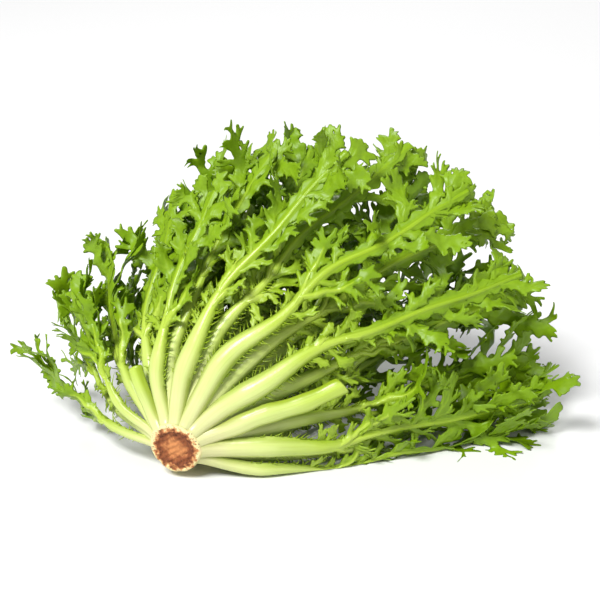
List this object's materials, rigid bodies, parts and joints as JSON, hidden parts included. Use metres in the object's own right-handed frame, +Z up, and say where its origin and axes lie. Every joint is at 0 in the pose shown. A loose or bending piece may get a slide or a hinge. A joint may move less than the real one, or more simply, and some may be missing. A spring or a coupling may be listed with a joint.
{
  "type": "curly endive head",
  "caption": "Head of curly endive cut at the stem, lying on its side, with fleshy pale ribs and finely cut, curly green leaves that fan out from the stem.",
  "frame": {"origin": "middle of the footprint of the head, on the surface that it lies on", "axes": "+Z up, -Y the way the cut face of the stem looks, +X the way the longest leaves reach"},
  "size_m": [0.2808, 0.1548, 0.1589],
  "materials": {
    "stem": "cut plant flesh, moist, browned in the middle of the cut",
    "rib": "pale smooth plant flesh",
    "outer_leaf": "green leaf with a pale rib, slightly waxy",
    "inner_leaf": "lighter green leaf, slightly waxy",
    "heart_leaf": "yellow-green leaf, slightly waxy"
  },
  "bodies": {
    "root": {"cut_stem": "stem", "outer_leaf_01": "outer_leaf", "outer_leaf_02": "outer_leaf", "outer_leaf_03": "outer_leaf", "outer_leaf_04": "outer_leaf", "outer_leaf_05": "outer_leaf", "outer_leaf_06": "outer_leaf", "outer_leaf_07": "outer_leaf", "outer_leaf_08": "outer_leaf", "outer_leaf_09": "outer_leaf", "outer_leaf_10": "outer_leaf", "outer_leaf_11": "outer_leaf", "outer_leaf_12": "outer_leaf", "outer_leaf_13": "outer_leaf", "outer_leaf_14": "outer_leaf", "outer_leaf_15": "outer_leaf", "outer_leaf_16": "outer_leaf", "outer_leaf_17": "outer_leaf", "trimmed_rib_01": "rib", "trimmed_rib_02": "rib", "second_leaf_01": "inner_leaf", "second_leaf_02": "inner_leaf", "second_leaf_03": "inner_leaf", "second_leaf_04": "inner_leaf", "second_leaf_05": "inner_leaf", "second_leaf_06": "inner_leaf", "second_leaf_07": "inner_leaf", "second_leaf_08": "inner_leaf", "second_leaf_09": "inner_leaf", "second_leaf_10": "inner_leaf", "second_leaf_11": "inner_leaf", "middle_leaf_01": "inner_leaf", "middle_leaf_02": "inner_leaf", "middle_leaf_03": "inner_leaf", "middle_leaf_04": "inner_leaf", "middle_leaf_05": "inner_leaf", "middle_leaf_06": "inner_leaf", "middle_leaf_07": "inner_leaf", "middle_leaf_08": "inner_leaf", "middle_leaf_09": "inner_leaf", "inner_leaf_01": "heart_leaf", "inner_leaf_02": "heart_leaf", "inner_leaf_03": "heart_leaf", "inner_leaf_04": "heart_leaf", "inner_leaf_05": "heart_leaf", "inner_leaf_06": "heart_leaf", "inner_leaf_07": "heart_leaf", "inner_leaf_08": "heart_leaf", "heart_leaf_01": "heart_leaf", "heart_leaf_02": "heart_leaf", "heart_leaf_03": "heart_leaf", "heart_leaf_04": "heart_leaf", "heart_leaf_05": "heart_leaf", "heart_leaf_06": "heart_leaf", "core_leaf_01": "heart_leaf", "core_leaf_02": "heart_leaf", "core_leaf_03": "heart_leaf", "core_leaf_04": "heart_leaf"}
  },
  "joints": []
}
